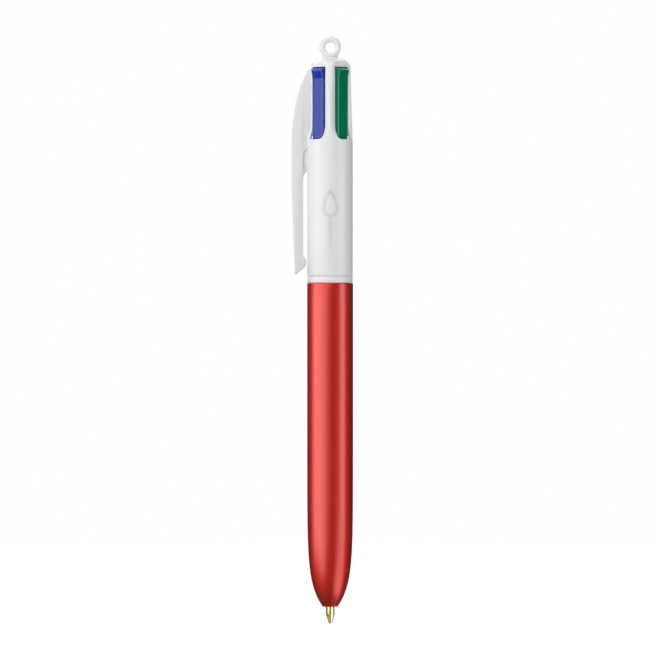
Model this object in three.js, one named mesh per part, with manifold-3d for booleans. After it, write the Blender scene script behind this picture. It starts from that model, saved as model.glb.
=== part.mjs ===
// Four-colour click pen, standing tip down with its clip towards -X.
// Millimetres, +Z up. Heights below are counted from the writing tip's end;
// the whole pen is then lowered so that the origin is the centre of the lanyard ring.
import * as THREE from "three";
import { mergeVertices } from "three/addons/utils/BufferGeometryUtils.js";
import Module from "manifold-3d";

const wasm = await Module();
wasm.setup();

// ---- Driving dimensions ----------------------------------------------------

const GRIP_RADIUS = 5.85; // coloured lower barrel
const BODY_RADIUS = 5.76; // white upper barrel
const UPPER_BORE = 4.85;
const LOWER_BORE = 5.0;
const SEAM_GAP = 0.06; // between pieces that meet on the outside

const NOSE_END = 4.3;
const NOSE_HOLE = 1.42;
const NOSE_START_RADIUS = 1.9; // where the rounded nose profile would meet its end
const NOSE_CURVE = 5.45; // length over which the nose swells to full size
const NOSE_WALL = 0.85;
const GRIP_TOP = 86.8;
const BAND_TOP = 88.45;
const COLLAR_BOTTOM = 78.8;
const COLLAR_TOP = 96.0;
const COLLAR_BORE = 4.1;
const NECK_RADIUS = 4.88; // threaded neck, inside the lower barrel
const SLEEVE_RADIUS = 4.78; // collar's upper part, inside the upper barrel

const SLOT_BOTTOM = 123.3;
const SLOT_TOP = 141.75;
const SLOT_HALF_WIDTH = 2.35;
const SLOT_CORNER = 0.9;
const BORE_TOP = SLOT_BOTTOM + SLOT_CORNER + 0.1; // the wide bore ends above the slots' rounded corners
const FLAT_DISTANCE = 4.1; // from the pen's axis to each slotted flat
const FLAT_RUNOUT_TOP = 127.0;
const FLAT_RUNOUT_BOTTOM = 123.0;
const HEAD_RADIUS = 5.2; // at the top of the ridges between the flats
const HEAD_MIDDLE_RADIUS = 5.46;
const DOME_EDGE = 141.9;
const DOME_TOP = 144.4;
const DOME_FLAT_RADIUS = 2.0;
const DOME_HOLE = 1.15;

const RING_HEIGHT = 146.95;
const RING_RADIUS = 2.74;
const RING_HOLE = 1.26;
const RING_THICKNESS = 2.2;
const RING_EDGE = 0.3;
const STEM_RADIUS = 1.0;
const POST_RADIUS = 0.8;
const POST_BOTTOM = 121.0;

const CLIP_REACH = 9.87; // from the axis to the outer face
const CLIP_TIP = 88.8;
const CLIP_INNER = 6.86;
const CLIP_ROOT = 121.0; // where the gap behind the clip ends
const CLIP_WIDTH_TOP = 1.7;
const CLIP_WIDTH_TIP = 2.4;
const CLIP_EDGE = 0.35;
const WEB_WIDTH = 1.3;
const WEB_BOTTOM = 115.3;

const TRAVEL = 11.5;
const SLIDER_PANEL = 4.5; // from the axis to the slider's outer face
const SLIDER_PANEL_HALF = 1.2;
const SLIDER_SHOULDER = 3.85;
const SLIDER_HALF_WIDTH = 2.25;
const SLIDER_BOTTOM = 118.0;
const SLIDER_INNER = 1.2;
const THUMB_BOTTOM = 138.5;
const THUMB_EDGE = 141.0; // the thumb's front edge, from which its top slopes up and back
const THUMB_TOP = 141.65;
const THUMB_REACH = 5.1;
const THUMB_SHOULDER = 4.45;
const THUMB_SLOPE = 0.52;
const PEG_RADIUS = 0.76;
const PEG_LENGTH = 5.0;

const REFILL_OFFSET = 2.7; // from the axis to each refill's upper end
const REFILL_TIP_UP = 2.4; // the same for its tip while drawn in
const REFILL_TIP_OUT = -0.12; // and while it is out
const PIVOT_HEIGHT = 116.0; // refill's hold on the slider's peg, drawn in
const TUBE_RADIUS = 1.15;
const TUBE_BORE = 0.85;
const TIP_RADIUS = 1.085;
const TIP_CONE = 2.35;
const TIP_LENGTH = 9.5;
const SHANK_RADIUS = 0.78;
const SHANK_END = 14.0;
const BALL_RADIUS = 0.4;
const SOCKET_RADIUS = 0.44;
const INK_TOP = 92.0; // above the ball
const INK_RADIUS = 0.78;

const PLATE_BOTTOM = 96.2;
const PLATE_TOP = 97.4;
const PLATE_RADIUS = 4.75;
const PLATE_HOLE = 1.4;
const PLATE_HOLE_OFFSET = 2.6;
const SPRING_RADIUS = 1.55;
const SPRING_WIRE = 0.15;
const SPRING_TURNS = 7;

const BARREL_SIDES = 44;
const SMALL_SIDES = 14;

// Each colour's slot, as the angle of its outward direction, and whether its tip is out.
const COLOURS = [
  { name: "blue", angle: 225, out: false, paint: 0x1c3aa6 },
  { name: "green", angle: 315, out: false, paint: 0x00704a },
  { name: "red", angle: 45, out: false, paint: 0xc2202a },
  { name: "black", angle: 135, out: true, paint: 0x1a1a1c },
];

// ---- Helpers ---------------------------------------------------------------

function material(color, roughness, metalness) {
  return new THREE.MeshStandardMaterial({ color, roughness, metalness });
}

function toSolid(geometry) {
  const bare = geometry.clone();
  bare.deleteAttribute("normal");
  bare.deleteAttribute("uv");
  const merged = mergeVertices(bare, 1e-4);
  const corners = merged.index.array;
  const triangles = [];
  for (let i = 0; i < corners.length; i += 3) {
    const [a, b, c] = corners.slice(i, i + 3);
    if (a !== b && b !== c && c !== a) {
      triangles.push(a, b, c);
    }
  }
  return new wasm.Manifold(
    new wasm.Mesh({
      numProp: 3,
      vertProperties: Float32Array.from(merged.attributes.position.array),
      triVerts: Uint32Array.from(triangles),
    }),
  );
}

function toGeometry(solid) {
  const mesh = solid.getMesh();
  const geometry = new THREE.BufferGeometry();
  geometry.setAttribute("position", new THREE.BufferAttribute(mesh.vertProperties, 3));
  geometry.setIndex(new THREE.BufferAttribute(mesh.triVerts, 1));
  geometry.computeVertexNormals();
  return geometry;
}

function named(name, geometry, look) {
  const mesh = new THREE.Mesh(geometry, look);
  mesh.name = name;
  return mesh;
}

// A profile of [radius, height] pairs, turned about the Z axis.
function revolve(profile, sides = SMALL_SIDES) {
  const points = profile.map(([radius, height]) => new THREE.Vector2(radius, height));
  return new THREE.LatheGeometry(points, sides).rotateX(Math.PI / 2);
}

// A tube's wall between two radii and two heights.
function sleeve(inner, outer, bottom, top, sides = SMALL_SIDES) {
  const profile = [
    [inner, bottom],
    [outer, bottom],
    [outer, top],
    [inner, top],
    [inner, bottom],
  ];
  return revolve(profile, sides);
}

function rod(radius, bottom, top, sides = SMALL_SIDES) {
  const profile = [
    [0, bottom],
    [radius, bottom],
    [radius, top],
    [0, top],
  ];
  return revolve(profile, sides);
}

// A shape drawn in X and Z, given a thickness along Y about the pen's middle plane.
function slab(shape, thickness, edge = 0) {
  const geometry = new THREE.ExtrudeGeometry(shape, {
    depth: thickness - 2 * edge,
    bevelEnabled: edge > 0,
    bevelThickness: edge,
    bevelSize: edge,
    bevelOffset: -edge,
    bevelSegments: 1,
    curveSegments: 10,
  });
  return geometry.translate(0, 0, edge - thickness / 2).rotateX(Math.PI / 2);
}

function polygon(points) {
  return new THREE.Shape(points.map(([x, y]) => new THREE.Vector2(x, y)));
}

function mirrored(points) {
  return [...points, ...points.map(([across, along]) => [across, -along]).reverse()];
}

// ---- Lower barrel ----------------------------------------------------------

function noseRadius(aboveNose) {
  return GRIP_RADIUS - (GRIP_RADIUS - NOSE_START_RADIUS) * Math.exp(-aboveNose / NOSE_CURVE);
}

function lowerBarrel() {
  const steps = 11;
  const curveEnd = 34;
  const flare = 0.9; // the funnel that leads a tip into the nose hole
  const outside = [];
  const inside = [];
  for (let i = 1; i <= steps; i += 1) {
    const above = curveEnd * (i / steps) ** 2;
    outside.push([noseRadius(above), NOSE_END + above]);
    const bore = Math.min(noseRadius(above + NOSE_WALL) - NOSE_WALL, LOWER_BORE);
    inside.push([bore, NOSE_END + above + NOSE_WALL]);
  }
  const rim = GRIP_TOP - SEAM_GAP;
  const profile = [
    [NOSE_HOLE, NOSE_END],
    [NOSE_START_RADIUS - 0.1, NOSE_END],
    ...outside,
    [GRIP_RADIUS, NOSE_END + curveEnd + 6],
    [GRIP_RADIUS, rim - 0.08],
    [GRIP_RADIUS - 0.08, rim],
    [LOWER_BORE, rim],
    [LOWER_BORE, NOSE_END + curveEnd + 6],
    ...inside.reverse().filter(([, height]) => height > NOSE_END + flare + NOSE_WALL),
    [NOSE_HOLE, NOSE_END + 0.3],
    [NOSE_HOLE, NOSE_END],
  ];
  return revolve(profile, BARREL_SIDES);
}

// ---- Upper barrel with its slotted head and clip ---------------------------

function headOfRevolution() {
  const dome = new THREE.QuadraticBezierCurve(
    new THREE.Vector2(HEAD_RADIUS, DOME_EDGE),
    new THREE.Vector2(HEAD_RADIUS - 0.6, DOME_EDGE + 1.7),
    new THREE.Vector2(DOME_FLAT_RADIUS, DOME_TOP),
  );
  const profile = [
    [UPPER_BORE, BAND_TOP + SEAM_GAP],
    [BODY_RADIUS - 0.06, BAND_TOP + SEAM_GAP],
    [BODY_RADIUS, BAND_TOP + SEAM_GAP + 0.06],
    [BODY_RADIUS, FLAT_RUNOUT_BOTTOM],
    [BODY_RADIUS - 0.06, SLOT_BOTTOM + 1],
    [HEAD_MIDDLE_RADIUS, (SLOT_BOTTOM + SLOT_TOP) / 2],
    ...dome.getPoints(6).map(({ x, y }) => [x, y]),
    [DOME_HOLE, DOME_TOP],
    [DOME_HOLE, BORE_TOP],
    [UPPER_BORE, BORE_TOP],
    [UPPER_BORE, BAND_TOP + SEAM_GAP],
  ];
  return toSolid(revolve(profile, BARREL_SIDES));
}

// What is cut away outside one flat: upright above, swinging out to the round body below.
function flatCutter() {
  const shape = new THREE.Shape();
  const drop = FLAT_RUNOUT_TOP - FLAT_RUNOUT_BOTTOM;
  const swing = BODY_RADIUS - FLAT_DISTANCE;
  const radius = (drop ** 2 + swing ** 2) / (2 * swing);
  const turn = Math.asin(drop / radius);
  const far = 9;
  shape.moveTo(far, DOME_TOP + 3);
  shape.lineTo(FLAT_DISTANCE, DOME_TOP + 3);
  shape.lineTo(FLAT_DISTANCE, FLAT_RUNOUT_TOP);
  shape.absarc(FLAT_DISTANCE + radius, FLAT_RUNOUT_TOP, radius, Math.PI, Math.PI + turn, false);
  shape.lineTo(far, FLAT_RUNOUT_BOTTOM);
  return slab(shape, 14);
}

// One slot with rounded lower corners, from the axis outwards.
function slotCutter() {
  const side = SLOT_HALF_WIDTH;
  const shape = new THREE.Shape();
  shape.moveTo(-side, SLOT_TOP);
  shape.lineTo(-side, SLOT_BOTTOM + SLOT_CORNER);
  shape.absarc(-side + SLOT_CORNER, SLOT_BOTTOM + SLOT_CORNER, SLOT_CORNER, Math.PI, 1.5 * Math.PI);
  shape.absarc(side - SLOT_CORNER, SLOT_BOTTOM + SLOT_CORNER, SLOT_CORNER, -Math.PI / 2, 0);
  shape.lineTo(side, SLOT_TOP);
  const depth = 7;
  const geometry = new THREE.ExtrudeGeometry(shape, { depth, bevelEnabled: false, curveSegments: 4 });
  return geometry.rotateX(Math.PI / 2).translate(0, depth, 0).rotateZ(-Math.PI / 2);
}

// The clip's side view: a fin on the head that runs down into a free arm with a bead.
function clipShape() {
  const shape = new THREE.Shape();
  const root = HEAD_RADIUS - 0.9;
  shape.moveTo(-root, DOME_EDGE + 0.9);
  shape.bezierCurveTo(-7.2, 139.8, -CLIP_REACH, 132, -CLIP_REACH, CLIP_ROOT + 1);
  shape.lineTo(-CLIP_REACH, 111);
  shape.lineTo(-CLIP_REACH + 0.85, CLIP_TIP);
  shape.lineTo(-6.55, 90.7);
  shape.quadraticCurveTo(-6.0, 91.4, -6.07, 92.4);
  shape.quadraticCurveTo(-6.15, 93.2, -CLIP_INNER, 93.7);
  shape.lineTo(-CLIP_INNER, CLIP_ROOT - 2.4);
  shape.quadraticCurveTo(-CLIP_INNER, CLIP_ROOT - 0.3, -BODY_RADIUS + 0.4, CLIP_ROOT);
  shape.lineTo(-root, CLIP_ROOT + 1);
  return shape;
}

function webShape() {
  const shape = new THREE.Shape();
  const inside = -BODY_RADIUS + 0.4;
  shape.moveTo(inside, CLIP_ROOT + 1);
  shape.lineTo(-CLIP_INNER - 0.8, CLIP_ROOT + 1);
  shape.lineTo(-CLIP_INNER - 0.8, WEB_BOTTOM - 1.2);
  shape.lineTo(-CLIP_INNER, WEB_BOTTOM - 1.2);
  shape.quadraticCurveTo(-BODY_RADIUS - 0.55, WEB_BOTTOM - 0.2, -BODY_RADIUS, WEB_BOTTOM);
  shape.lineTo(inside, WEB_BOTTOM);
  return shape;
}

// A wedge seen from the front that widens the clip towards its tip.
function clipTaper() {
  const top = DOME_TOP + 1;
  const bottom = CLIP_TIP - 1;
  const outline = mirrored([
    [top, CLIP_WIDTH_TOP / 2],
    [bottom, CLIP_WIDTH_TIP / 2],
  ]).map(([height, across]) => [across, height]);
  const wedge = slab(polygon(outline), 2 * CLIP_REACH + 2);
  return wedge.rotateZ(Math.PI / 2);
}

function upperBarrel() {
  let body = headOfRevolution();
  for (const { angle } of COLOURS) {
    body = body.subtract(toSolid(flatCutter().rotateZ(THREE.MathUtils.degToRad(angle))));
  }
  const bore = toSolid(rod(UPPER_BORE, BAND_TOP, BORE_TOP, BARREL_SIDES));
  const clip = toSolid(slab(clipShape(), CLIP_WIDTH_TIP, CLIP_EDGE))
    .intersect(toSolid(clipTaper()))
    .add(toSolid(slab(webShape(), WEB_WIDTH)));
  body = body.add(clip).subtract(bore);
  for (const { angle } of COLOURS) {
    body = body.subtract(toSolid(slotCutter().rotateZ(THREE.MathUtils.degToRad(angle))));
  }
  return toGeometry(body);
}

// ---- Lanyard ring with the post that runs down between the sliders ---------

function lanyardRing() {
  const half = RING_THICKNESS / 2;
  const rim = [
    [RING_HOLE, RING_EDGE - half],
    [RING_HOLE + RING_EDGE, -half],
    [RING_RADIUS - RING_EDGE, -half],
    [RING_RADIUS, RING_EDGE - half],
    [RING_RADIUS, half - RING_EDGE],
    [RING_RADIUS - RING_EDGE, half],
    [RING_HOLE + RING_EDGE, half],
    [RING_HOLE, half - RING_EDGE],
    [RING_HOLE, RING_EDGE - half],
  ];
  const ring = revolve(rim, 28).rotateX(Math.PI / 2).translate(0, 0, RING_HEIGHT);
  const footHeight = DOME_TOP + SEAM_GAP;
  const foot = polygon([
    [-1.8, footHeight],
    [1.8, footHeight],
    [2.25, RING_HEIGHT - 1.5],
    [-2.25, RING_HEIGHT - 1.5],
  ]);
  const hole = rod(RING_HOLE, -half - 1, half + 1, 28);
  const stem = rod(STEM_RADIUS, SLOT_TOP - 1, RING_HEIGHT - RING_HOLE - 0.5);
  const post = rod(POST_RADIUS, POST_BOTTOM, SLOT_TOP);
  const solid = toSolid(ring)
    .add(toSolid(slab(foot, RING_THICKNESS - 2 * RING_EDGE)))
    .subtract(toSolid(hole.rotateX(Math.PI / 2).translate(0, 0, RING_HEIGHT)))
    .add(toSolid(stem))
    .add(toSolid(post));
  return toGeometry(solid);
}

// ---- Threaded collar and the plate that the springs stand on ---------------

function threadedCollar() {
  const profile = [
    [COLLAR_BORE, COLLAR_BOTTOM],
    [NECK_RADIUS - 0.2, COLLAR_BOTTOM],
    [NECK_RADIUS, COLLAR_BOTTOM + 0.4],
    [NECK_RADIUS, GRIP_TOP],
    [BODY_RADIUS - 0.04, GRIP_TOP],
    [BODY_RADIUS, BAND_TOP],
    [SLEEVE_RADIUS, BAND_TOP],
    [SLEEVE_RADIUS, COLLAR_TOP],
    [COLLAR_BORE, COLLAR_TOP],
    [COLLAR_BORE, COLLAR_BOTTOM],
  ];
  return revolve(profile, BARREL_SIDES);
}

function guidePlate() {
  let plate = toSolid(rod(PLATE_RADIUS, PLATE_BOTTOM, PLATE_TOP, BARREL_SIDES));
  for (const { angle } of COLOURS) {
    const hole = rod(PLATE_HOLE, PLATE_BOTTOM - 1, PLATE_TOP + 1, 18);
    hole.translate(PLATE_HOLE_OFFSET, 0, 0).rotateZ(THREE.MathUtils.degToRad(angle));
    plate = plate.subtract(toSolid(hole));
  }
  return toGeometry(plate);
}

// ---- One colour: slider, spring and refill ---------------------------------
// Drawn with the slot's outward direction along +X.

function slider() {
  const section = mirrored([
    [SLIDER_PANEL, SLIDER_PANEL_HALF],
    [SLIDER_SHOULDER, SLIDER_HALF_WIDTH],
    [SLIDER_HALF_WIDTH + 0.25, SLIDER_HALF_WIDTH],
    [SLIDER_INNER, SLIDER_INNER - 0.2],
  ]);
  const depth = THUMB_TOP - SLIDER_BOTTOM;
  const stem = new THREE.ExtrudeGeometry(polygon(section), { depth, bevelEnabled: false, steps: 24 });
  stem.translate(0, 0, SLIDER_BOTTOM);
  flareOut(stem.attributes.position);
  const peg = rod(PEG_RADIUS, SLIDER_BOTTOM - PEG_LENGTH, SLIDER_BOTTOM + 1);
  const solid = toSolid(stem)
    .subtract(toSolid(thumbSlope()))
    .add(toSolid(peg.translate(REFILL_OFFSET, 0, 0)));
  return toGeometry(solid);
}

// Swing the upper end of a stem's outer face outwards, for the thumb to push on.
function flareOut(places) {
  for (let i = 0; i < places.count; i += 1) {
    const across = places.getX(i);
    const onPanel = Math.abs(places.getY(i)) < SLIDER_HALF_WIDTH - 0.1;
    const swell = Math.max(0, (places.getZ(i) - THUMB_BOTTOM) / (THUMB_EDGE - THUMB_BOTTOM));
    const flare = onPanel ? THUMB_REACH - SLIDER_PANEL : THUMB_SHOULDER - SLIDER_SHOULDER;
    if (across > SLIDER_HALF_WIDTH + 0.5) {
      places.setX(i, across + flare * Math.min(swell, 1));
    }
  }
}

// What is cut away above a thumb, leaving a top that slopes down and outwards.
function thumbSlope() {
  const far = THUMB_REACH + 2;
  const inner = THUMB_REACH - (THUMB_TOP - THUMB_EDGE) / THUMB_SLOPE - 1;
  const shape = polygon([
    [far, THUMB_EDGE - (far - THUMB_REACH) * THUMB_SLOPE],
    [far, THUMB_TOP + 2],
    [inner, THUMB_TOP + 2],
    [inner, THUMB_TOP + THUMB_SLOPE],
  ]);
  return slab(shape, 6);
}

class Helix extends THREE.Curve {
  constructor(radius, height, turns) {
    super();
    this.radius = radius;
    this.height = height;
    this.turns = turns;
  }

  getPoint(t, target = new THREE.Vector3()) {
    const angle = 2 * Math.PI * this.turns * t;
    return target.set(this.radius * Math.cos(angle), this.radius * Math.sin(angle), this.height * t);
  }
}

function spring(length) {
  const rise = length - 2 * SPRING_WIRE;
  const path = new Helix(SPRING_RADIUS, rise, SPRING_TURNS);
  const wire = new THREE.Shape().absarc(0, 0, SPRING_WIRE, 0, 2 * Math.PI);
  const steps = 11 * SPRING_TURNS;
  const coil = new THREE.ExtrudeGeometry(wire, { extrudePath: path, steps, curveSegments: 3 });
  return coil.translate(REFILL_OFFSET, 0, SPRING_WIRE);
}

// Refill pieces are drawn on their own axis, heights counted from the ball's lowest point.
function brassTip() {
  const mouth = 0.35;
  const profile = [
    [0, 2.2 * BALL_RADIUS],
    [SOCKET_RADIUS, 2.2 * BALL_RADIUS],
    [SOCKET_RADIUS, mouth],
    [SOCKET_RADIUS + 0.1, mouth],
    [SOCKET_RADIUS + 0.2, mouth + 0.25],
    [TIP_RADIUS, TIP_CONE],
    [TIP_RADIUS, TIP_LENGTH],
    [SHANK_RADIUS, TIP_LENGTH],
    [SHANK_RADIUS, SHANK_END],
    [0, SHANK_END],
  ];
  return revolve(profile, SMALL_SIDES);
}

function refillPieces({ name, paint }) {
  const tubeBottom = TIP_LENGTH + 0.1;
  const tubeTop = SLIDER_BOTTOM - 0.1 - TRAVEL;
  const ball = new THREE.SphereGeometry(BALL_RADIUS, 12, 7).translate(0, 0, BALL_RADIUS);
  return [
    named(`${name}_refill_tube`, sleeve(TUBE_BORE, TUBE_RADIUS, tubeBottom, tubeTop), material(0xe9ecea, 0.35, 0)),
    named(`${name}_ink`, rod(INK_RADIUS, SHANK_END + 0.1, INK_TOP), material(paint, 0.2, 0)),
    named(`${name}_brass_tip`, brassTip(), material(0xc9ad5b, 0.25, 1)),
    named(`${name}_ball`, ball, material(0xb9bcc0, 0.2, 1)),
  ];
}

function colourGroup(colour) {
  const group = new THREE.Group();
  const drop = colour.out ? TRAVEL : 0;
  const sliderMesh = named(`${colour.name}_slider`, slider(), material(colour.paint, 0.4, 0));
  sliderMesh.position.z = -drop;
  const length = SLIDER_BOTTOM - drop - PLATE_TOP - 0.2;
  const springMesh = named(`${colour.name}_spring`, spring(length), material(0xc4c6c9, 0.3, 1));
  springMesh.position.z = PLATE_TOP + 0.1;

  // The refill hangs from the slider's peg and leans in until its tip meets the nose hole.
  const hang = PIVOT_HEIGHT - TRAVEL;
  const tipOffset = colour.out ? REFILL_TIP_OUT : REFILL_TIP_UP;
  const refill = new THREE.Group();
  refill.position.set(REFILL_OFFSET, 0, PIVOT_HEIGHT - drop);
  refill.rotation.y = Math.asin((REFILL_OFFSET - tipOffset) / hang);
  for (const piece of refillPieces(colour)) {
    piece.position.z = -hang;
    refill.add(piece);
  }
  group.add(sliderMesh, springMesh, refill);
  group.rotation.z = THREE.MathUtils.degToRad(colour.angle);
  return group;
}

// ---- Assembly --------------------------------------------------------------

const white = material(0xeceded, 0.4, 0);
const pen = new THREE.Group();
pen.add(named("upper_barrel", upperBarrel(), white));
pen.add(named("lanyard_ring", lanyardRing(), white));
pen.add(named("threaded_collar", threadedCollar(), white));
pen.add(named("guide_plate", guidePlate(), white));
pen.add(named("lower_barrel", lowerBarrel(), material(0xb3261c, 0.35, 0.8)));
for (const colour of COLOURS) {
  pen.add(colourGroup(colour));
}
pen.position.z = -RING_HEIGHT;

export default pen;
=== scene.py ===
"""A four-colour click pen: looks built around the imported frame.

Pieces are modelled in millimetres, with heights counted from the writing tip's end,
and settle() then brings each one to metres and to the frame's own origin.
"""

import math

import bpy
from mathutils import Matrix, Vector

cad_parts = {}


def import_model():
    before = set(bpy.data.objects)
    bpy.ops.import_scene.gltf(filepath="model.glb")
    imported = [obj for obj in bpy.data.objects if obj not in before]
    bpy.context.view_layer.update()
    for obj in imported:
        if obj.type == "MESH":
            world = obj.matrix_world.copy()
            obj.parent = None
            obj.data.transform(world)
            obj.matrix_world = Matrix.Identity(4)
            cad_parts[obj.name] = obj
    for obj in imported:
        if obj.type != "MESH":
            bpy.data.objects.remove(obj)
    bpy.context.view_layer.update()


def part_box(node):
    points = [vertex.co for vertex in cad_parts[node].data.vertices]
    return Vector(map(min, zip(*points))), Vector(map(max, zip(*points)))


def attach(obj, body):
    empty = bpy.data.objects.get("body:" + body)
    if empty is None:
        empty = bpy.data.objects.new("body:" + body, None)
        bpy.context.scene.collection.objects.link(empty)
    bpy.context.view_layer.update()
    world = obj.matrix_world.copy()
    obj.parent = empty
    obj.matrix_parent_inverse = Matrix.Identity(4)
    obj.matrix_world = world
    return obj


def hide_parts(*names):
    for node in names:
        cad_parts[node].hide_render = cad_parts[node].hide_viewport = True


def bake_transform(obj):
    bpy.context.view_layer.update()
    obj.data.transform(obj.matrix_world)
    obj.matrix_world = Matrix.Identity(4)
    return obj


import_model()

# ---- The pen's dimensions, in millimetres ------------------------------------

MM = 0.001
GRIP_RADIUS = 5.85
BODY_RADIUS = 5.76
UPPER_BORE = 4.85
LOWER_BORE = 5.0
SEAM_GAP = 0.06

NOSE_END = 4.3
NOSE_HOLE = 1.42
NOSE_START_RADIUS = 1.9
NOSE_CURVE = 5.45
NOSE_WALL = 0.85
GRIP_TOP = 86.8
BAND_TOP = 88.45
COLLAR_BOTTOM = 78.8
COLLAR_TOP = 96.0
COLLAR_BORE = 4.1
NECK_RADIUS = 4.84
SLEEVE_RADIUS = 4.78
THREAD_HEIGHT = 0.1
THREAD_PITCH = 1.5

SLOT_BOTTOM = 123.3
SLOT_TOP = 141.75
SLOT_HALF_WIDTH = 2.35
SLOT_CORNER = 0.9
SLOT_TOP_CORNER = 0.25
BORE_TOP = SLOT_BOTTOM + SLOT_CORNER + 0.1
FLAT_DISTANCE = 4.1
FLAT_RUNOUT_TOP = 127.0
FLAT_RUNOUT_BOTTOM = 123.0
HEAD_RADIUS = 5.2
HEAD_MIDDLE_RADIUS = 5.46
DOME_EDGE = 141.9
DOME_TOP = 144.4
DOME_FLAT_RADIUS = 2.0
DOME_HOLE = 1.15

RING_HEIGHT = 146.95
RING_RADIUS = 2.74
RING_HOLE = 1.26
RING_THICKNESS = 2.2
RING_EDGE = 0.68
FOOT_HALF_BOTTOM = 1.8
FOOT_HALF_TOP = 2.25
STEM_RADIUS = 1.0
POST_RADIUS = 0.8
POST_BOTTOM = 121.0

CLIP_REACH = 9.87
CLIP_TIP = 88.8
CLIP_INNER = 6.86
CLIP_ROOT = 121.0
CLIP_WIDTH_TOP = 1.7
CLIP_WIDTH_TIP = 2.4
CLIP_EDGE = 0.35
WEB_WIDTH = 1.3
WEB_BOTTOM = 115.3

MARK_DROP = 107.2
MARK_HALF_HEIGHT = 3.7
MARK_HALF_WIDTH = 2.1
MARK_DOT = 0.6
MARK_RISE = 0.05
MARK_STEPS = 48

TRAVEL = 11.5
SLIDER_PANEL = 4.5
SLIDER_PANEL_HALF = 1.2
SLIDER_SHOULDER = 3.85
SLIDER_HALF_WIDTH = 2.25
SHOULDER_ROUND = 1.3
SLIDER_BOTTOM = 118.0
SLIDER_INNER = 1.2
THUMB_BOTTOM = 138.5
THUMB_EDGE = 141.0
THUMB_TOP = 141.65
THUMB_REACH = 5.1
THUMB_SHOULDER = 4.45
THUMB_SLOPE = 0.52
PEG_RADIUS = 0.76
PEG_LENGTH = 5.0

REFILL_OFFSET = 2.7
REFILL_TIP_UP = 2.4
REFILL_TIP_OUT = -0.12
PIVOT_HEIGHT = 116.0
TUBE_RADIUS = 1.15
TUBE_BORE = 0.85
TIP_RADIUS = 1.085
TIP_CONE = 2.35
TIP_LENGTH = 9.5
SHANK_RADIUS = 0.78
SHANK_END = 14.0
BALL_RADIUS = 0.4
SOCKET_RADIUS = 0.44
INK_TOP = 92.0
INK_RADIUS = 0.78

PLATE_BOTTOM = 96.2
PLATE_TOP = 97.4
PLATE_RADIUS = 4.75
PLATE_HOLE = 1.4
PLATE_HOLE_OFFSET = 2.6
SPRING_RADIUS = 1.55
SPRING_WIRE = 0.15
SPRING_TURNS = 9

# How far the frame's origin lies above the height where counting starts.
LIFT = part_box("upper_barrel")[1][2] / MM - DOME_TOP

# Slot direction in degrees, and whether the tip is out at rest.
COLOURS = {
    "blue": (225, False),
    "green": (315, False),
    "red": (45, False),
    "black": (135, True),
}

# ---- Modelling helpers ---------------------------------------------------------


def only(obj):
    """Select obj alone and make it active."""
    if bpy.context.object and bpy.context.object.mode != "OBJECT":
        bpy.ops.object.mode_set(mode="OBJECT")
    bpy.ops.object.select_all(action="DESELECT")
    obj.select_set(True)
    bpy.context.view_layer.objects.active = obj


def drawn(name, points, closed=False):
    """A wire drawn from point to point, starting from a plane collapsed to one vertex."""
    bpy.ops.object.select_all(action="DESELECT")
    bpy.ops.mesh.primitive_plane_add(size=1, location=(0, 0, 0))
    obj = bpy.context.object
    obj.name = name
    bpy.ops.object.mode_set(mode="EDIT")
    bpy.ops.mesh.select_all(action="SELECT")
    bpy.ops.mesh.merge(type="CENTER")
    bpy.ops.transform.translate(value=points[0])
    for here, there in zip(points, points[1:]):
        step = Vector(there) - Vector(here)
        bpy.ops.mesh.extrude_region_move(TRANSFORM_OT_translate={"value": step})
    bpy.ops.mesh.select_all(action="SELECT")
    if closed:
        bpy.ops.mesh.edge_face_add()
    bpy.ops.object.mode_set(mode="OBJECT")
    return obj


def turned(name, profile, steps=160):
    """A profile of (radius, height) points spun once about the pen's axis."""
    obj = drawn(name, [(radius, 0, height) for radius, height in profile])
    bpy.ops.object.mode_set(mode="EDIT")
    bpy.ops.mesh.select_all(action="SELECT")
    bpy.ops.mesh.spin(steps=steps, angle=2 * math.pi, center=(0, 0, 0), axis=(0, 0, 1))
    bpy.ops.mesh.select_all(action="SELECT")
    bpy.ops.mesh.remove_doubles(threshold=1e-4)
    bpy.ops.mesh.normals_make_consistent(inside=False)
    bpy.ops.object.mode_set(mode="OBJECT")
    return obj


def prism(name, outline, start, depth):
    """A closed outline of 3-D points, moved to start and pushed out by depth."""
    obj = drawn(name, outline, closed=True)
    bpy.ops.object.mode_set(mode="EDIT")
    bpy.ops.mesh.select_all(action="SELECT")
    bpy.ops.transform.translate(value=start)
    bpy.ops.mesh.extrude_region_move(TRANSFORM_OT_translate={"value": depth})
    bpy.ops.mesh.select_all(action="SELECT")
    bpy.ops.mesh.normals_make_consistent(inside=False)
    bpy.ops.object.mode_set(mode="OBJECT")
    return obj


def heightened(obj, bottom, top, steps):
    """Extrude the face at height bottom up to height top, leaving a ring of edges at each step."""
    only(obj)
    vertices = obj.data.vertices
    for vertex in vertices:
        vertex.select = abs(vertex.co.z - bottom) < 1e-3
    for part in (*obj.data.edges, *obj.data.polygons):
        part.select = all(vertices[index].select for index in part.vertices)
    bpy.ops.object.mode_set(mode="EDIT")
    for _ in range(steps):
        rise = (0, 0, (top - bottom) / steps)
        bpy.ops.mesh.extrude_region_move(TRANSFORM_OT_translate={"value": rise})
    bpy.ops.mesh.select_all(action="SELECT")
    bpy.ops.mesh.normals_make_consistent(inside=False)
    bpy.ops.object.mode_set(mode="OBJECT")
    return obj


def joined(obj, extra):
    """Put extra into the same mesh as obj, its own closed body."""
    only(obj)
    extra.select_set(True)
    bpy.ops.object.join()
    return obj


def applied(obj, kind, **settings):
    """Add one modifier with its settings and apply it."""
    only(obj)
    modifier = obj.modifiers.new(kind.lower(), kind)
    for key, value in settings.items():
        setattr(modifier, key, value)
    bpy.ops.object.modifier_apply(modifier=modifier.name)
    return obj


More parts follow.
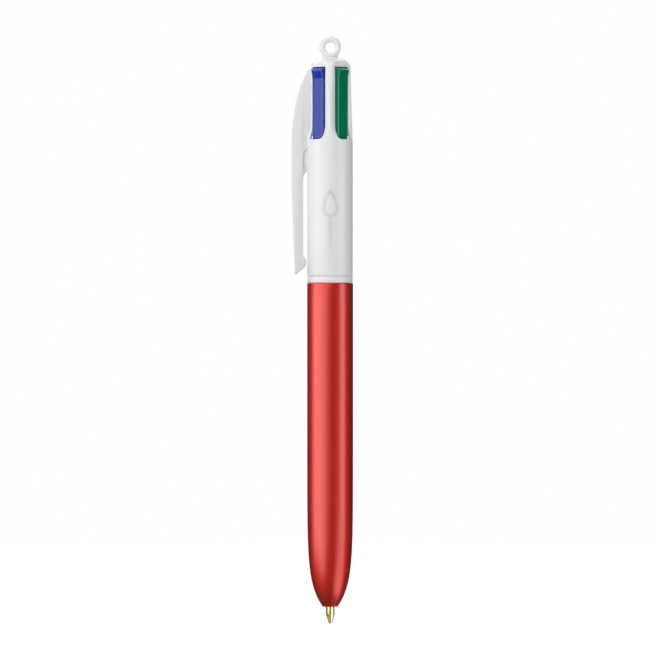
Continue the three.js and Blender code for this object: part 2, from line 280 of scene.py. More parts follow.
def boolean(obj, tool, operation):
    applied(obj, "BOOLEAN", object=tool, operation=operation, solver="MANIFOLD")
    bpy.data.objects.remove(tool, do_unlink=True)
    return obj


def cut(obj, tool):
    return boolean(obj, tool, "DIFFERENCE")


def fuse(obj, tool):
    return boolean(obj, tool, "UNION")


def bevelled(obj, width, segments=3, angle=30):
    return applied(
        obj,
        "BEVEL",
        width=width,
        segments=segments,
        limit_method="ANGLE",
        angle_limit=math.radians(angle),
        use_clamp_overlap=True,
        harden_normals=False,
    )


def moved(obj, matrix):
    """Apply a matrix to the mesh itself."""
    obj.data.transform(matrix)
    obj.data.update()
    return obj


def faced(obj, degrees):
    """Turn a mesh drawn towards +X to face its slot."""
    return moved(obj, Matrix.Rotation(math.radians(degrees), 4, "Z"))


def smooth(obj, angle=35):
    only(obj)
    bpy.ops.object.shade_smooth_by_angle(angle=math.radians(angle))
    return obj


def arc(across, up, radius, start, end, steps=6):
    """Points of an arc in a profile, angles in degrees from the outward direction."""
    points = []
    for i in range(steps + 1):
        angle = math.radians(start + (end - start) * i / steps)
        points.append((across + radius * math.cos(angle), up + radius * math.sin(angle)))
    return points


def curve(start, control, end, steps=10, first=0):
    """Points of a quadratic curve."""
    points = []
    for i in range(first, steps + 1):
        t = i / steps
        weights = ((1 - t) ** 2, 2 * t * (1 - t), t**2)
        pulls = list(zip(weights, (start, control, end)))
        points.append(tuple(sum(weight * node[k] for weight, node in pulls) for k in (0, 1)))
    return points


def settle(obj, body, material, slot, *nodes):
    """Bring a finished piece to metres in the frame, give it its material, hang it on its body and hide
    the CAD nodes it stands in for.
    """
    moved(obj, Matrix.Scale(MM, 4) @ Matrix.Translation((0, 0, LIFT)))
    obj.data.materials.clear()
    obj.data.materials.append(material)
    if body:
        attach(obj, body)
    if nodes:
        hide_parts(*nodes)
    return obj


# ---- Materials -----------------------------------------------------------------


def principled(name, colour, roughness, **sockets):
    """A Principled material; every constant sits on the shader's own socket."""
    material = bpy.data.materials.new(name)
    material.use_nodes = True
    shader = material.node_tree.nodes["Principled BSDF"]
    shader.inputs["Base Color"].default_value = (*colour, 1)
    shader.inputs["Roughness"].default_value = roughness
    for socket, value in sockets.items():
        shader.inputs[socket.replace("_", " ")].default_value = value
    return material, shader


def object_noise(material, scale, detail=2.0, stretch=(1, 1, 1)):
    """Noise on Object coordinates, stretched along the pen where asked."""
    tree = material.node_tree
    place = tree.nodes.new("ShaderNodeTexCoord")
    mapping = tree.nodes.new("ShaderNodeMapping")
    noise = tree.nodes.new("ShaderNodeTexNoise")
    mapping.inputs["Scale"].default_value = stretch
    noise.inputs["Scale"].default_value = scale
    noise.inputs["Detail"].default_value = detail
    tree.links.new(place.outputs["Object"], mapping.inputs["Vector"])
    tree.links.new(mapping.outputs["Vector"], noise.inputs["Vector"])
    return noise


def ranged(material, source, low, high):
    """Map a 0..1 value to a narrow range, for roughness."""
    node = material.node_tree.nodes.new("ShaderNodeMapRange")
    node.inputs["To Min"].default_value = low
    node.inputs["To Max"].default_value = high
    material.node_tree.links.new(source, node.inputs["Value"])
    return node.outputs["Result"]


def bump(material, shader, height, distance, strength=1.0):
    node = material.node_tree.nodes.new("ShaderNodeBump")
    node.inputs["Distance"].default_value = distance
    node.inputs["Strength"].default_value = strength
    material.node_tree.links.new(height, node.inputs["Height"])
    material.node_tree.links.new(node.outputs["Normal"], shader.inputs["Normal"])


def tinted(material, shader, source, dark, light):
    """Colour that drifts between two close shades."""
    ramp = material.node_tree.nodes.new("ShaderNodeValToRGB")
    ramp.color_ramp.elements[0].position = 0.3
    ramp.color_ramp.elements[1].position = 0.7
    ramp.color_ramp.elements[0].color = (*dark, 1)
    ramp.color_ramp.elements[1].color = (*light, 1)
    material.node_tree.links.new(source, ramp.inputs["Fac"])
    material.node_tree.links.new(ramp.outputs["Color"], shader.inputs["Base Color"])


def shade(colour, factor):
    return tuple(min(1.0, channel * factor) for channel in colour)


def moulded_plastic(name, colour, roughness, **sockets):
    """Injection-moulded plastic: faint flow marks, a fine satin skin, drifting gloss."""
    material, shader = principled(name, colour, roughness, **sockets)
    flow = object_noise(material, 120, 3, stretch=(1, 1, 0.35))
    tinted(material, shader, flow.outputs["Fac"], shade(colour, 0.985), shade(colour, 1.01))
    skin = object_noise(material, 9000, 2)
    rough = ranged(material, flow.outputs["Fac"], roughness * 0.92, roughness * 1.1)
    material.node_tree.links.new(rough, shader.inputs["Roughness"])
    bump(material, shader, skin.outputs["Fac"], 0.000004, 0.25)
    return material


def metallic_lacquer():
    """Satin red lacquer with fine aluminium flake under a thin clear coat."""
    base = (0.62, 0.022, 0.009)
    sockets = {"Metallic": 1.0, "Coat_Weight": 0.8, "Coat_Roughness": 0.28, "Coat_IOR": 1.62}
    material, shader = principled("red_metallic_lacquer", base, 0.58, **sockets)
    flake = object_noise(material, 14000, 1)
    drift = object_noise(material, 90, 3, stretch=(1, 1, 0.2))
    tinted(material, shader, flake.outputs["Fac"], shade(base, 0.86), shade(base, 1.12))
    rough = ranged(material, drift.outputs["Fac"], 0.55, 0.62)
    material.node_tree.links.new(rough, shader.inputs["Roughness"])
    bump(material, shader, flake.outputs["Fac"], 0.000006, 0.35)
    return material


def turned_metal(name, colour, roughness, ring_scale):
    """Turned metal: fine rings across the axis left by the tool."""
    material, shader = principled(name, colour, roughness, Metallic=1.0)
    rings = object_noise(material, ring_scale, 2, stretch=(0.02, 0.02, 1))
    stain = object_noise(material, 700, 3)
    tinted(material, shader, stain.outputs["Fac"], shade(colour, 0.9), shade(colour, 1.05))
    rough = ranged(material, rings.outputs["Fac"], roughness * 0.8, roughness * 1.3)
    material.node_tree.links.new(rough, shader.inputs["Roughness"])
    bump(material, shader, rings.outputs["Fac"], 0.000006, 0.3)
    return material


def clear_tube():
    """Milky, slightly cloudy refill tube."""
    colour = (0.88, 0.9, 0.89)
    sockets = {"Transmission_Weight": 0.75, "IOR": 1.49}
    material, shader = principled("clear_tube", colour, 0.22, **sockets)
    cloud = object_noise(material, 500, 2, stretch=(1, 1, 0.1))
    rough = ranged(material, cloud.outputs["Fac"], 0.17, 0.27)
    material.node_tree.links.new(rough, shader.inputs["Roughness"])
    tinted(material, shader, cloud.outputs["Fac"], shade(colour, 0.95), colour)
    return material


WHITE = moulded_plastic(
    "white_body_plastic",
    (0.8, 0.805, 0.81),
    0.36,
    Subsurface_Weight=0.25,
    Subsurface_Radius=(1, 1, 1),
    Subsurface_Scale=0.0012,
)
PLATE = moulded_plastic("plate_plastic", (0.75, 0.75, 0.74), 0.5)
LACQUER = metallic_lacquer()
BRASS = turned_metal("tip_brass", (0.95, 0.76, 0.34), 0.3, 26000)
STEEL = turned_metal("spring_steel", (0.62, 0.62, 0.63), 0.28, 9000)
BALL = turned_metal("ball_carbide", (0.62, 0.62, 0.64), 0.12, 12000)
TUBE = clear_tube()
SLIDER_ROUGHNESS = 0.11
SLIDER_PAINTS = {
    "blue": (0.004, 0.03, 0.34),
    "green": (0.0, 0.185, 0.085),
    "red": (0.56, 0.02, 0.02),
    "black": (0.016, 0.016, 0.018),
}
INKS = {
    "blue": (0.006, 0.012, 0.2),
    "green": (0.0, 0.09, 0.035),
    "red": (0.33, 0.006, 0.01),
    "black": (0.006, 0.006, 0.007),
}


# ---- Lower barrel ----------------------------------------------------------------


def nose_radius(above):
    return GRIP_RADIUS - (GRIP_RADIUS - NOSE_START_RADIUS) * math.exp(-above / NOSE_CURVE)


def lower_barrel():
    steps = 40
    curve_end = 36.0
    lip = 0.22
    rim = GRIP_TOP - SEAM_GAP
    outside = []
    inside = []
    for i in range(1, steps + 1):
        above = curve_end * (i / steps) ** 1.7
        if above > 1.6 * lip:
            outside.append((nose_radius(above), NOSE_END + above))
        bore = min(nose_radius(above + NOSE_WALL) - NOSE_WALL, LOWER_BORE)
        if above > 1.0:
            inside.append((bore, NOSE_END + above + NOSE_WALL))
    profile = [(NOSE_HOLE, NOSE_END + 0.12), (NOSE_HOLE + 0.1, NOSE_END)]
    profile += arc(nose_radius(0.25) - lip, NOSE_END + lip, lip, -90, -10)
    profile += outside
    profile += [(GRIP_RADIUS, NOSE_END + curve_end + 20), (GRIP_RADIUS, rim - 6)]
    profile += arc(GRIP_RADIUS - 0.12, rim - 0.12, 0.12, 0, 90, 4)
    profile += arc(LOWER_BORE + 0.1, rim - 0.1, 0.1, 90, 180, 3)
    profile += [(LOWER_BORE, NOSE_END + curve_end + 20)]
    profile += inside[::-1]
    profile += [(NOSE_HOLE, NOSE_END + 0.35), (NOSE_HOLE, NOSE_END + 0.12)]
    barrel = smooth(turned("red_lower_barrel", profile, 192), 40)
    settle(barrel, "grip", LACQUER, "red_metallic", "lower_barrel")


# ---- Upper barrel -------------------------------------------------------------------


def head_of_revolution():
    bottom = BAND_TOP + SEAM_GAP
    profile = [(UPPER_BORE, bottom + 0.05), (UPPER_BORE + 0.05, bottom)]
    profile += arc(BODY_RADIUS - 0.1, bottom + 0.1, 0.1, -90, 0, 4)
    profile += [(BODY_RADIUS, 100), (BODY_RADIUS, 112), (BODY_RADIUS, FLAT_RUNOUT_BOTTOM - 1)]
    profile += [(BODY_RADIUS - 0.06, SLOT_BOTTOM + 1)]
    profile += [(HEAD_MIDDLE_RADIUS, (SLOT_BOTTOM + SLOT_TOP) / 2)]
    edge = (HEAD_RADIUS, DOME_EDGE)
    profile += curve(edge, (HEAD_RADIUS - 0.6, DOME_EDGE + 1.7), (DOME_FLAT_RADIUS, DOME_TOP), 14)
    profile += [(DOME_HOLE, DOME_TOP), (DOME_HOLE, BORE_TOP), (UPPER_BORE, BORE_TOP)]
    profile += [(UPPER_BORE, bottom + 0.05)]
    return turned("white_upper_barrel", profile, 192)


def flat_cutter():
    drop = FLAT_RUNOUT_TOP - FLAT_RUNOUT_BOTTOM
    swing = BODY_RADIUS - FLAT_DISTANCE
    radius = (drop**2 + swing**2) / (2 * swing)
    turn = math.degrees(math.asin(drop / radius))
    far = 9.0
    outline = [(far, DOME_TOP + 3), (FLAT_DISTANCE, DOME_TOP + 3)]
    outline += arc(FLAT_DISTANCE + radius, FLAT_RUNOUT_TOP, radius, 180, 180 + turn, 24)
    outline += [(far, FLAT_RUNOUT_BOTTOM)]
    points = [(across, 0, height) for across, height in outline]
    return prism("flat_cutter", points, (0, -7, 0), (0, 14, 0))


def slot_cutter():
    side = SLOT_HALF_WIDTH
    corner = SLOT_CORNER
    small = SLOT_TOP_CORNER
    outline = arc(-side + small, SLOT_TOP - small, small, 90, 180, 4)
    outline += arc(-side + corner, SLOT_BOTTOM + corner, corner, 180, 270, 8)
    outline += arc(side - corner, SLOT_BOTTOM + corner, corner, 270, 360, 8)
    outline += arc(side - small, SLOT_TOP - small, small, 0, 90, 4)
    points = [(0, across, height) for across, height in outline]
    return prism("slot_cutter", points, (0, 0, 0), (7, 0, 0))


def clip_outline():
    root = HEAD_RADIUS - 0.9
    steps = 22
    nodes = ((-root, DOME_EDGE + 0.9), (-7.2, 139.8), (-CLIP_REACH, 132), (-CLIP_REACH, CLIP_ROOT + 1))
    outline = []
    for i in range(steps + 1):
        t = i / steps
        weights = ((1 - t) ** 3, 3 * t * (1 - t) ** 2, 3 * t**2 * (1 - t), t**3)
        outline.append(tuple(sum(w * n[k] for w, n in zip(weights, nodes)) for k in (0, 1)))
    outline += [(-CLIP_REACH, 111), (-CLIP_REACH + 0.85, CLIP_TIP), (-6.55, 90.7)]
    outline += curve((-6.55, 90.7), (-6.0, 91.4), (-6.07, 92.4), 6, 1)
    outline += curve((-6.07, 92.4), (-6.15, 93.2), (-CLIP_INNER, 93.7), 6, 1)
    outline += curve(
        (-CLIP_INNER, CLIP_ROOT - 2.4), (-CLIP_INNER, CLIP_ROOT - 0.3), (0.4 - BODY_RADIUS, CLIP_ROOT), 8
    )
    outline += [(-root, CLIP_ROOT + 1)]
    return outline


def narrowed(obj, top_share, tip_share):
    """Scale a slab's thickness along its height."""
    for vertex in obj.data.vertices:
        t = (vertex.co.z - CLIP_TIP) / (DOME_TOP - CLIP_TIP)
        vertex.co.y *= tip_share + (top_share - tip_share) * t
    return obj


def clip_arm():
    points = [(across, 0, height) for across, height in clip_outline()]
    half = CLIP_WIDTH_TOP / 2
    arm = prism("clip_arm", points, (0, -half, 0), (0, CLIP_WIDTH_TOP, 0))
    narrowed(arm, 1.0, CLIP_WIDTH_TIP / CLIP_WIDTH_TOP)
    return bevelled(arm, CLIP_EDGE, 4, 50)


def clip_web():
    inside = 0.4 - BODY_RADIUS
    outer = -CLIP_INNER - 0.8
    outline = [(inside, CLIP_ROOT + 1), (outer, CLIP_ROOT + 1), (outer, WEB_BOTTOM - 1.2)]
    outline += curve((-CLIP_INNER, WEB_BOTTOM - 1.2), (-BODY_RADIUS - 0.55, WEB_BOTTOM - 0.2),
                     (-BODY_RADIUS, WEB_BOTTOM), 8)
    outline += [(inside, WEB_BOTTOM)]
    points = [(across, 0, height) for across, height in outline]
    return prism("clip_web", points, (0, -WEB_WIDTH / 2, 0), (0, WEB_WIDTH, 0))


def drop_outline(scale):
    """An ink drop with its point up, in the X and Z plane."""
    points = []
    for i in range(MARK_STEPS):
        turn = 2 * math.pi * i / MARK_STEPS
        across = scale * MARK_HALF_WIDTH * 1.35 * math.sin(turn) * math.sin(turn / 2) ** 1.5
        up = scale * MARK_HALF_HEIGHT * math.cos(turn)
        points.append((across, 0, up))
    return points


def raised_mark():
    """An ink drop over four dots, one for each ink, standing just proud of the round body."""
    inside = BODY_RADIUS - 0.06
    outside = BODY_RADIUS + MARK_RISE
    bottom, top = MARK_DROP - 12, MARK_DROP + 5
    wall = [(inside, bottom), (outside, bottom), (outside, top), (inside, top), (inside, bottom)]
    mark = turned("mark", wall, 192)
    stamp = prism("stamp", drop_outline(1.0), (0, -8, MARK_DROP), (0, 4, 0))
    cut(stamp, prism("stamp_inside", drop_outline(0.8), (0, -9, MARK_DROP - 0.12), (0, 6, 0)))
    for i in range(len(COLOURS)):
        dot = turned("dot", [(0, 4), (MARK_DOT, 4), (MARK_DOT, 8), (0, 8)], 32)
        moved(dot, Matrix.Rotation(math.pi / 2, 4, "X"))
        moved(dot, Matrix.Translation((0, 0, MARK_DROP - MARK_HALF_HEIGHT - 1.5 - 2.1 * i)))
        fuse(stamp, dot)
    boolean(mark, stamp, "INTERSECT")
    return mark


def upper_barrel():
    body = head_of_revolution()
    for degrees, _ in COLOURS.values():
        cut(body, faced(flat_cutter(), degrees))
    bore_profile = [(0, BAND_TOP), (UPPER_BORE, BAND_TOP), (UPPER_BORE, BORE_TOP), (0, BORE_TOP)]
    fuse(body, clip_arm())
    fuse(body, clip_web())
    cut(body, turned("bore", bore_profile, 192))
    for degrees, _ in COLOURS.values():
        cut(body, faced(slot_cutter(), degrees))
    bevelled(body, 0.1, 2, 28)
    joined(body, raised_mark())
    smooth(body, 40)
    settle(body, "upper_pen", WHITE, "white_plastic", "upper_barrel")


# ---- Lanyard ring -----------------------------------------------------------------------


def lanyard_ring():
    half = RING_THICKNESS / 2
    edge = RING_EDGE
    rim = arc(RING_RADIUS - edge, half - edge, edge, 0, 90, 6)
    rim += arc(RING_HOLE + edge, half - edge, edge, 90, 180, 6)
    rim += arc(RING_HOLE + edge, edge - half, edge, 180, 270, 6)
    rim += arc(RING_RADIUS - edge, edge - half, edge, 270, 360, 6)
    ring = turned("white_lanyard_ring", rim + rim[:1], 96)
    moved(ring, Matrix.Translation((0, 0, RING_HEIGHT)) @ Matrix.Rotation(math.pi / 2, 4, "X"))
    foot_height = DOME_TOP - 0.15
    foot_top = RING_HEIGHT - 1.5
    outline = [(-FOOT_HALF_BOTTOM, foot_height), (FOOT_HALF_BOTTOM, foot_height)]
    outline += [(FOOT_HALF_TOP, foot_top), (-FOOT_HALF_TOP, foot_top)]
    points = [(across, 0, height) for across, height in outline]
    thickness = RING_THICKNESS - 0.5
    foot = prism("foot", points, (0, -thickness / 2, 0), (0, thickness, 0))
    bevelled(foot, 0.3, 3, 50)
    hole_profile = [(0, -half - 1), (RING_HOLE, -half - 1), (RING_HOLE, half + 1), (0, half + 1)]
    hole = turned("hole", hole_profile, 96)
    moved(hole, Matrix.Translation((0, 0, RING_HEIGHT)) @ Matrix.Rotation(math.pi / 2, 4, "X"))
    fuse(ring, foot)
    cut(ring, hole)
    post_profile = [(0, POST_BOTTOM), (POST_RADIUS - 0.2, POST_BOTTOM), (POST_RADIUS, POST_BOTTOM + 0.3)]
    post_profile += [(POST_RADIUS, SLOT_TOP - 1.2), (STEM_RADIUS, SLOT_TOP - 0.8)]
    post_profile += [(STEM_RADIUS, DOME_TOP + 0.6), (0, DOME_TOP + 0.6)]
    fuse(ring, turned("post", post_profile, 48))
    smooth(ring, 45)
    settle(ring, "upper_pen", WHITE, "white_plastic", "lanyard_ring")


# ---- Threaded collar and guide plate ----------------------------------------------------------


def threaded_collar():
    profile = [(COLLAR_BORE, COLLAR_BOTTOM + 0.1), (COLLAR_BORE + 0.1, COLLAR_BOTTOM)]
    profile += [(NECK_RADIUS - 0.25, COLLAR_BOTTOM), (NECK_RADIUS, COLLAR_BOTTOM + 0.4)]
    profile += [(NECK_RADIUS, GRIP_TOP), (BODY_RADIUS - 0.14, GRIP_TOP)]
    profile += arc(BODY_RADIUS - 0.12, GRIP_TOP + 0.08, 0.08, -90, 0, 3)
    profile += arc(BODY_RADIUS - 0.08, BAND_TOP - 0.08, 0.08, 0, 90, 3)
    profile += [(SLEEVE_RADIUS, BAND_TOP), (SLEEVE_RADIUS, COLLAR_TOP)]
    profile += [(COLLAR_BORE, COLLAR_TOP), (COLLAR_BORE, COLLAR_BOTTOM + 0.1)]
    collar = turned("white_threaded_collar", profile, 192)
    thread = drawn(
        "thread",
        [
            (NECK_RADIUS - 0.1, 0, COLLAR_BOTTOM + 0.7),
            (NECK_RADIUS + THREAD_HEIGHT, 0, COLLAR_BOTTOM + 1.0),
            (NECK_RADIUS + THREAD_HEIGHT, 0, COLLAR_BOTTOM + 1.15),
            (NECK_RADIUS - 0.1, 0, COLLAR_BOTTOM + 1.45),
        ],
        closed=True,
    )
    turns = 3.5
    applied(
        thread,
        "SCREW",
        angle=2 * math.pi * turns,
        screw_offset=THREAD_PITCH * turns,
        steps=int(72 * turns),
        render_steps=int(72 * turns),
        use_merge_vertices=False,
        use_normal_calculate=True,
    )
    only(thread)
    bpy.ops.object.mode_set(mode="EDIT")
    bpy.ops.mesh.select_all(action="SELECT")
    bpy.ops.mesh.remove_doubles(threshold=1e-4)
    bpy.ops.mesh.normals_make_consistent(inside=False)
    bpy.ops.object.mode_set(mode="OBJECT")
    joined(collar, thread)
    smooth(collar, 35)
    settle(collar, "upper_pen", WHITE, "white_plastic", "threaded_collar")


def guide_plate():
    edge = 0.1
    profile = [(0, PLATE_BOTTOM), (PLATE_RADIUS - edge, PLATE_BOTTOM), (PLATE_RADIUS, PLATE_BOTTOM + edge)]
    profile += [(PLATE_RADIUS, PLATE_TOP - edge), (PLATE_RADIUS - edge, PLATE_TOP), (0, PLATE_TOP)]
    plate = turned("guide_plate_moulding", profile, 96)
    for degrees, _ in COLOURS.values():
        below, above = PLATE_BOTTOM - 1, PLATE_TOP + 1
        hole = turned("hole", [(0, below), (PLATE_HOLE, below), (PLATE_HOLE, above), (0, above)], 48)
        moved(hole, Matrix.Translation((PLATE_HOLE_OFFSET, 0, 0)))
        cut(plate, faced(hole, degrees))
    bevelled(plate, 0.08, 2, 60)
    smooth(plate, 35)
    settle(plate, "upper_pen", PLATE, "plate_plastic", "guide_plate")


# ---- One colour's slider, spring and refill ------------------------------------------------------


def slider(colour, degrees, drop):
    half = SLIDER_HALF_WIDTH
    turn = math.degrees(math.asin((half - SLIDER_PANEL_HALF) / SHOULDER_ROUND))
    one_side = arc(SLIDER_PANEL - SHOULDER_ROUND, SLIDER_PANEL_HALF, SHOULDER_ROUND, 0, turn, 6)
    one_side += [(half + 0.25, half), (SLIDER_INNER, SLIDER_INNER - 0.2)]
    section = one_side + [(across, -along) for across, along in reversed(one_side)]
    points = [(across, along, 0) for across, along in section]
    height = THUMB_BOTTOM - SLIDER_BOTTOM
    stem = prism(f"{colour}_slider_moulding", points, (0, 0, SLIDER_BOTTOM), (0, 0, height))
    heightened(stem, THUMB_BOTTOM, THUMB_TOP, 8)
    for vertex in stem.data.vertices:
        if vertex.co.x > half + 0.5:
            swell = max(0, (vertex.co.z - THUMB_BOTTOM) / (THUMB_EDGE - THUMB_BOTTOM))
            off_panel = max(0, abs(vertex.co.y) - SLIDER_PANEL_HALF) / (half - SLIDER_PANEL_HALF)
            flare = THUMB_REACH - SLIDER_PANEL
            flare += off_panel * (THUMB_SHOULDER - SLIDER_SHOULDER - flare)
            vertex.co.x += flare * min(swell, 1)
    far = THUMB_REACH + 2
    rise = (THUMB_TOP - THUMB_EDGE) / THUMB_SLOPE
    outline = [(far, 0, THUMB_EDGE - (far - THUMB_REACH) * THUMB_SLOPE), (far, 0, THUMB_TOP + 2)]
    near = THUMB_REACH - rise - 1
    outline += [(near, 0, THUMB_TOP + 2), (near, 0, THUMB_TOP + THUMB_SLOPE)]
    cut(stem, prism("thumb_slope", outline, (0, -3, 0), (0, 6, 0)))
    bevelled(stem, 0.12, 3, 20)
    peg_profile = [(0, SLIDER_BOTTOM - PEG_LENGTH), (PEG_RADIUS - 0.15, SLIDER_BOTTOM - PEG_LENGTH)]
    peg_profile += [(PEG_RADIUS, SLIDER_BOTTOM - PEG_LENGTH + 0.3), (PEG_RADIUS, SLIDER_BOTTOM + 1)]
    peg_profile += [(0, SLIDER_BOTTOM + 1)]
    peg = moved(turned("peg", peg_profile, 32), Matrix.Translation((REFILL_OFFSET, 0, 0)))
    fuse(stem, peg)
    smooth(stem, 35)
    moved(stem, Matrix.Translation((0, 0, -drop)))
    name = f"{colour}_slider_plastic"
    paint = moulded_plastic(name, SLIDER_PAINTS[colour], SLIDER_ROUGHNESS, Specular_IOR_Level=0.35)
    settle(faced(stem, degrees), f"{colour}_button", paint, f"{colour}_plastic", f"{colour}_slider")


def spring(colour, degrees, drop):
    """A wire coil whose end turns lie flat, stretched between the plate and the slider."""
    length = SLIDER_BOTTOM - drop - PLATE_TOP - 0.2 - 2 * SPRING_WIRE
    dead = 1.25
    dead_pitch = 2.2 * SPRING_WIRE
    live_pitch = (length - 2 * dead * dead_pitch) / (SPRING_TURNS - 2 * dead)
    steps_per_turn = 24
    points = []
    height = PLATE_TOP + 0.1 + SPRING_WIRE
    for i in range(SPRING_TURNS * steps_per_turn + 1):
        turn = i / steps_per_turn
        angle = 2 * math.pi * turn
        across = SPRING_RADIUS * math.cos(angle) + REFILL_OFFSET
        points.append((across, SPRING_RADIUS * math.sin(angle), height))
        live = dead <= turn < SPRING_TURNS - dead
        height += (live_pitch if live else dead_pitch) / steps_per_turn
    data = bpy.data.curves.new(f"{colour}_spring_coil", "CURVE")
    data.dimensions = "3D"
    data.bevel_depth = SPRING_WIRE
    data.bevel_resolution = 3
    data.use_fill_caps = True
    spline = data.splines.new("POLY")
    spline.points.add(len(points) - 1)
    for place, point in zip(spline.points, points):
        place.co = (*point, 1)
    coil = bpy.data.objects.new(f"{colour}_spring_coil", data)
    bpy.context.collection.objects.link(coil)
    only(coil)
    bpy.ops.object.convert(target="MESH")
    coil = bpy.context.object
    smooth(faced(coil, degrees), 60)
    settle(coil, None, STEEL, "spring_steel", f"{colour}_spring")
    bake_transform(coil)


def refill_place(degrees, drop):
    """Where a refill hangs: from the slider's peg, leaning in towards the nose hole."""
    hang = PIVOT_HEIGHT - TRAVEL
    tip_offset = REFILL_TIP_OUT if drop else REFILL_TIP_UP
    lean = math.asin((REFILL_OFFSET - tip_offset) / hang)
    turn = Matrix.Rotation(math.radians(degrees), 4, "Z")
    peg = Matrix.Translation((REFILL_OFFSET, 0, PIVOT_HEIGHT - drop))
    return turn @ peg @ Matrix.Rotation(lean, 4, "Y") @ Matrix.Translation((0, 0, -hang))


def brass_tip_profile():
    mouth = 0.35
    profile = [(0, 2.2 * BALL_RADIUS), (SOCKET_RADIUS, 2.2 * BALL_RADIUS), (SOCKET_RADIUS, mouth)]
    profile += arc(SOCKET_RADIUS + 0.07, mouth + 0.03, 0.07, 200, 340, 5)
    profile += [(SOCKET_RADIUS + 0.16, mouth + 0.25), (TIP_RADIUS - 0.03, TIP_CONE - 0.06)]
    profile += [(TIP_RADIUS, TIP_CONE + 0.04), (TIP_RADIUS, TIP_LENGTH - 0.15)]
    profile += [(TIP_RADIUS - 0.15, TIP_LENGTH)]
    profile += [(SHANK_RADIUS, TIP_LENGTH), (SHANK_RADIUS, SHANK_END - 0.2)]
    profile += [(SHANK_RADIUS - 0.2, SHANK_END), (0, SHANK_END)]
    return profile


def refill(colour, degrees, drop):
    place = refill_place(degrees, drop)
    body = f"{colour}_refill"
    bottom = TIP_LENGTH + 0.1
    top = SLIDER_BOTTOM - 0.1 - TRAVEL
    edge = 0.08
    wall = arc(TUBE_RADIUS - edge, bottom + edge, edge, -90, 0, 3)
    wall += arc(TUBE_RADIUS - edge, top - edge, edge, 0, 90, 3)
    wall += [(TUBE_BORE, top), (TUBE_BORE, bottom), wall[0]]
    tube = smooth(turned(f"{colour}_refill_tube_clear", wall, 48), 40)
    settle(moved(tube, place), body, TUBE, "tube_plastic", f"{colour}_refill_tube")
    level = [(0, SHANK_END + 0.1), (INK_RADIUS, SHANK_END + 0.1), (INK_RADIUS, INK_TOP)]
    level += [(INK_RADIUS - 0.35, INK_TOP - 0.25), (0, INK_TOP - 0.32)]
    ink = smooth(turned(f"{colour}_ink_column", level, 32), 40)
    wet = moulded_plastic(f"{colour}_ink_wet", INKS[colour], 0.12)
    settle(moved(ink, place), body, wet, f"{colour}_ink", f"{colour}_ink")
    tip = smooth(turned(f"{colour}_writing_tip", brass_tip_profile(), 64), 30)
    settle(moved(tip, place), body, BRASS, "tip_brass", f"{colour}_brass_tip")
    bead = arc(0, BALL_RADIUS, BALL_RADIUS, -90, 90, 16)
    bead[0] = (0, 0)
    bead[-1] = (0, 2 * BALL_RADIUS)
    ball = smooth(turned(f"{colour}_writing_ball", bead, 32), 60)
    settle(moved(ball, place), body, BALL, "ball_steel", f"{colour}_ball")


# ---- Stage --------------------------------------------------------------------------------------

FRAME_WIDTH = 168.3  # how much of the pen's plane the picture spans
PEN_MIDDLE = 74.8  # height at the picture's middle
LENS = 250.0
SENSOR = 36.0

# Name, azimuth and elevation in degrees, distance, width and height in metres, power in watts.
SOFTBOXES = (
    ("left_wide", -50, 3.5, 0.9, 1.13, 0.47, 3.7),
    ("left_side", -87, 2, 0.9, 0.4, 0.4, 1.1),
    ("left_core", -62, 3.5, 0.9, 0.655, 0.47, 1.0),
    ("left_low", -45, -17, 0.9, 0.6, 0.24, 1.0),
    ("front_strip", -10, 5, 0.9, 0.317, 0.416, 0.3),
    ("front_high", -10, 33, 0.9, 0.317, 0.482, 1.1),
    ("right_core", 65, 5, 0.9, 0.42, 0.416, 1.95),
    ("right_low", 57, -17, 0.9, 0.75, 0.29, 1.3),
    ("right_under", 58, -42, 0.42, 0.36, 0.24, 0.6),
    ("top_left", -70, 65, 0.9, 0.5, 0.5, 1.4),
    ("top_front", 0, 65, 0.9, 0.5, 0.5, 2.1),
    ("rear_fill", 180, 48, 0.9, 0.9, 0.5, 4.5),
)


def camera():
    distance = FRAME_WIDTH * LENS / SENSOR
    data = bpy.data.cameras.new("camera")
    data.lens = LENS
    data.sensor_width = SENSOR
    data.clip_start = 0.01
    data.clip_end = 50
    obj = bpy.data.objects.new("camera", data)
    bpy.context.collection.objects.link(obj)
    obj.location = Vector((-0.03, -distance, PEN_MIDDLE + LIFT)) * MM
    obj.rotation_euler = (math.pi / 2, 0, 0)
    bpy.context.scene.camera = obj


def softbox(name, azimuth, elevation, distance, width, tall, power):
    """An area light aimed at the pen; azimuth 0 is the camera's side, positive to its right."""
    data = bpy.data.lights.new(name, "AREA")
    data.shape = "RECTANGLE"
    data.size = width
    data.size_y = tall
    data.energy = power
    obj = bpy.data.objects.new(name, data)
    bpy.context.collection.objects.link(obj)
    obj.visible_camera = False
    around = math.radians(azimuth)
    up = math.radians(elevation)
    middle = Vector((0, 0, (PEN_MIDDLE + LIFT) * MM))
    away = Vector((math.cos(up) * math.sin(around), -math.cos(up) * math.cos(around), math.sin(up)))
    obj.location = middle + distance * away
    obj.rotation_euler = (-away).to_track_quat("-Z", "Y").to_euler()


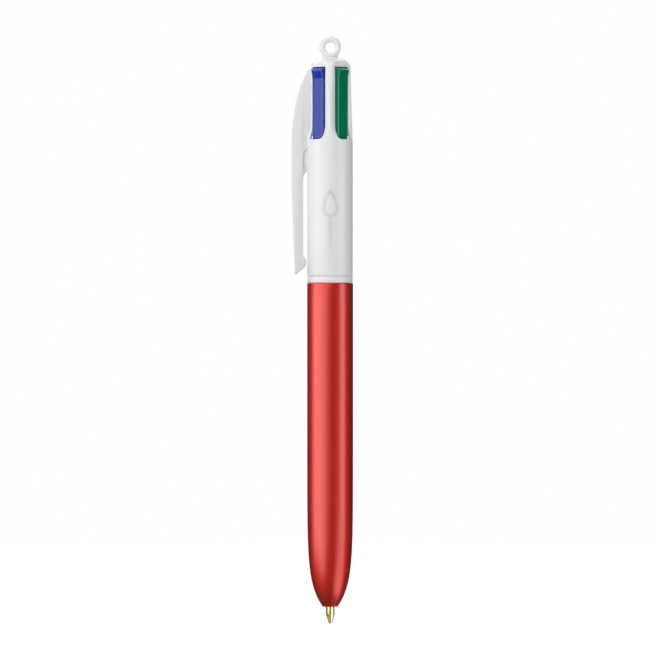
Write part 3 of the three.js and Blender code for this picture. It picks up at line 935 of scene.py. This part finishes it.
def world():
    """White behind the pen for the camera, a dimmer grey room for everything else."""
    room = bpy.data.worlds.new("room")
    bpy.context.scene.world = room
    room.use_nodes = True
    tree = room.node_tree
    back = tree.nodes["Background"]
    back.inputs["Color"].default_value = (0.95, 0.975, 1, 1)
    back.inputs["Strength"].default_value = 0.07
    white = tree.nodes.new("ShaderNodeBackground")
    white.inputs["Color"].default_value = (1, 1, 1, 1)
    white.inputs["Strength"].default_value = 1.0
    path = tree.nodes.new("ShaderNodeLightPath")
    mix = tree.nodes.new("ShaderNodeMixShader")
    tree.links.new(path.outputs["Is Camera Ray"], mix.inputs["Fac"])
    tree.links.new(back.outputs["Background"], mix.inputs[1])
    tree.links.new(white.outputs["Background"], mix.inputs[2])
    tree.links.new(mix.outputs["Shader"], tree.nodes["World Output"].inputs["Surface"])


def floor():
    bpy.ops.object.select_all(action="DESELECT")
    below = 250.0
    bpy.ops.mesh.primitive_plane_add(size=12, location=(0, 0, (LIFT - below) * MM))
    obj = bpy.context.object
    obj.name = "pale_floor"
    material, shader = principled("pale_floor_paint", (0.12, 0.12, 0.12), 0.9)
    tree = material.node_tree
    path = tree.nodes.new("ShaderNodeLightPath")
    lift = tree.nodes.new("ShaderNodeMath")
    lift.operation = "MULTIPLY"
    lift.inputs[1].default_value = 1.0
    tree.links.new(path.outputs["Is Camera Ray"], lift.inputs[0])
    tree.links.new(lift.outputs["Value"], shader.inputs["Emission Strength"])
    shader.inputs["Emission Color"].default_value = (1, 1, 1, 1)
    obj.data.materials.append(material)


def stage():
    camera()
    world()
    floor()
    for light in SOFTBOXES:
        softbox(*light)
    view = bpy.context.scene.view_settings
    view.view_transform = "Standard"
    view.look = "None"
    view.exposure = 0.0
    view.gamma = 1.0


# ---- Assembly ------------------------------------------------------------------------------------

stage()
lower_barrel()
upper_barrel()
lanyard_ring()
threaded_collar()
guide_plate()
for name, (direction, out) in COLOURS.items():
    pressed = TRAVEL if out else 0
    slider(name, direction, pressed)
    spring(name, direction, pressed)
    refill(name, direction, pressed)
